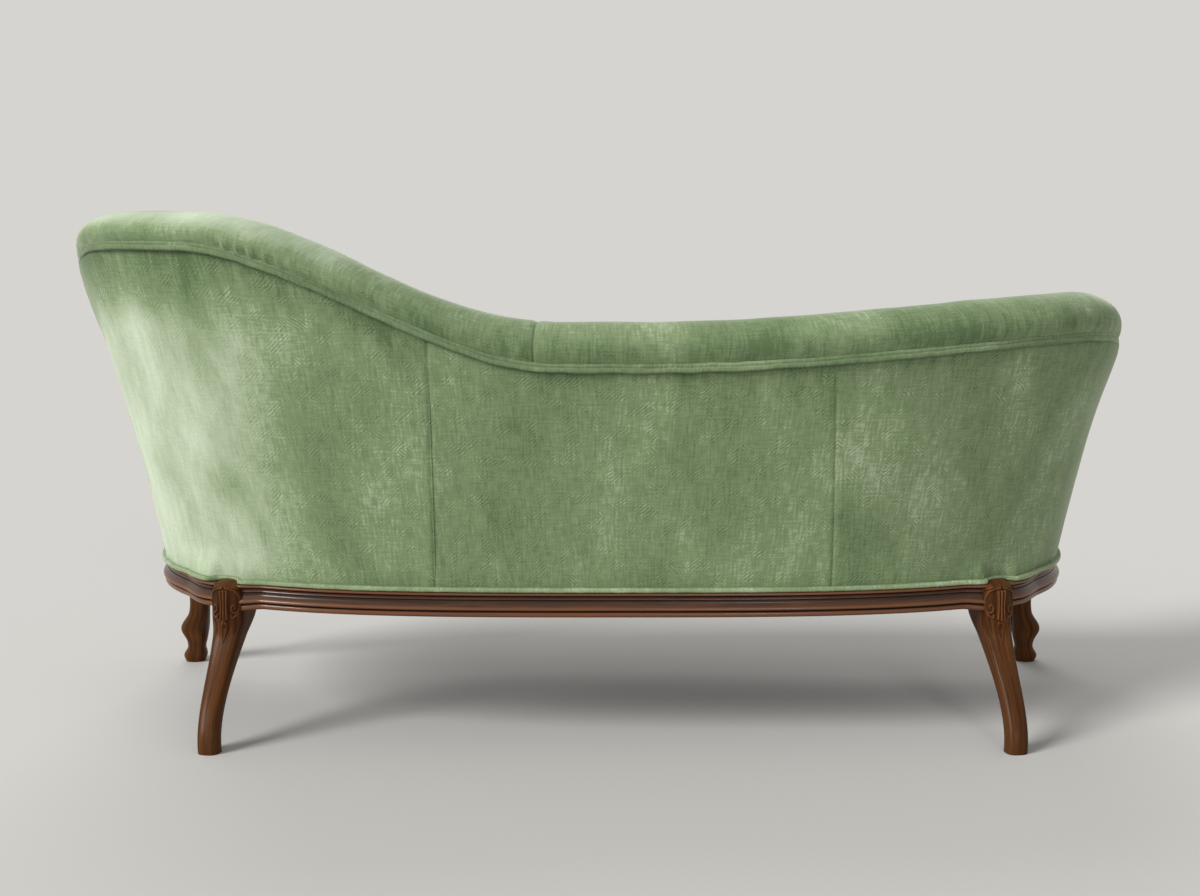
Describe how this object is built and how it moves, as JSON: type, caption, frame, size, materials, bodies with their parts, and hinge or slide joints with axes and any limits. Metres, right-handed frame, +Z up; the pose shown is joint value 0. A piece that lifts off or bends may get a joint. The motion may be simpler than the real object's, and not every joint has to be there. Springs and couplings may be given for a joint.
{
  "type": "spoon-back settee",
  "caption": "Upholstered settee with a wrap-round back that rises to one end, a rolled piped rim, a sprung seat and a moulded walnut seat frame on carved swept legs.",
  "frame": {"origin": "on the floor under the middle of the settee's bounding box", "axes": "+Z up, -Y the way a sitter faces, +X towards the raised end of the back"},
  "size_m": [1.8016, 0.7122, 0.8762],
  "materials": {
    "walnut_show_wood": "polished walnut, semi-gloss",
    "beech_frame": "unfinished beech",
    "sage_velvet": "crushed pile velvet",
    "piping_velvet": "velvet over cord",
    "hair_stuffing": "loose curled hair",
    "hessian": "plain weave",
    "jute_webbing": "heavy twill weave",
    "black_cambric": "close plain weave",
    "spring_steel": "drawn wire",
    "screw_steel": "bright steel"
  },
  "bodies": {
    "root": {"back_rail": "walnut_show_wood", "side_rail_high": "walnut_show_wood", "side_rail_low": "walnut_show_wood", "front_rail": "walnut_show_wood", "rear_leg_high": "walnut_show_wood", "rear_leg_low": "walnut_show_wood", "front_leg_high": "walnut_show_wood", "front_leg_low": "walnut_show_wood", "corner_block_front_high": "beech_frame", "corner_block_front_low": "beech_frame", "corner_block_rear_high": "beech_frame", "corner_block_rear_low": "beech_frame", "corner_screw_front_high": "screw_steel", "corner_screw_front_low": "screw_steel", "corner_screw_rear_high": "screw_steel", "corner_screw_rear_low": "screw_steel", "top_rail_back": "beech_frame", "top_rail_high": "beech_frame", "top_rail_low": "beech_frame", "back_post_high": "beech_frame", "back_post_low": "beech_frame", "corner_post_high": "beech_frame", "corner_post_low": "beech_frame", "arm_post_high": "beech_frame", "arm_post_low": "beech_frame", "back_hessian": "hessian", "back_stuffing": "hair_stuffing", "arm_stuffing_high": "hair_stuffing", "arm_stuffing_low": "hair_stuffing", "inside_cover_high": "sage_velvet", "inside_cover_low": "sage_velvet", "outside_cover_high": "sage_velvet", "outside_cover_centre": "sage_velvet", "outside_cover_low": "sage_velvet", "arm_front_high": "sage_velvet", "arm_front_low": "sage_velvet", "top_piping": "piping_velvet", "base_gimp": "piping_velvet", "front_gimp": "piping_velvet", "seat_cover": "sage_velvet", "seat_stuffing": "hair_stuffing", "front_border": "sage_velvet", "seat_hessian": "hessian", "cross_web_1": "jute_webbing", "cross_web_2": "jute_webbing", "cross_web_3": "jute_webbing", "cross_web_4": "jute_webbing", "long_web_1": "jute_webbing", "long_web_2": "jute_webbing", "seat_spring_1": "spring_steel", "seat_spring_2": "spring_steel", "seat_spring_3": "spring_steel", "seat_spring_4": "spring_steel", "seat_spring_5": "spring_steel", "seat_spring_6": "spring_steel", "seat_spring_7": "spring_steel", "seat_spring_8": "spring_steel", "dust_cover": "black_cambric"}
  },
  "joints": []
}
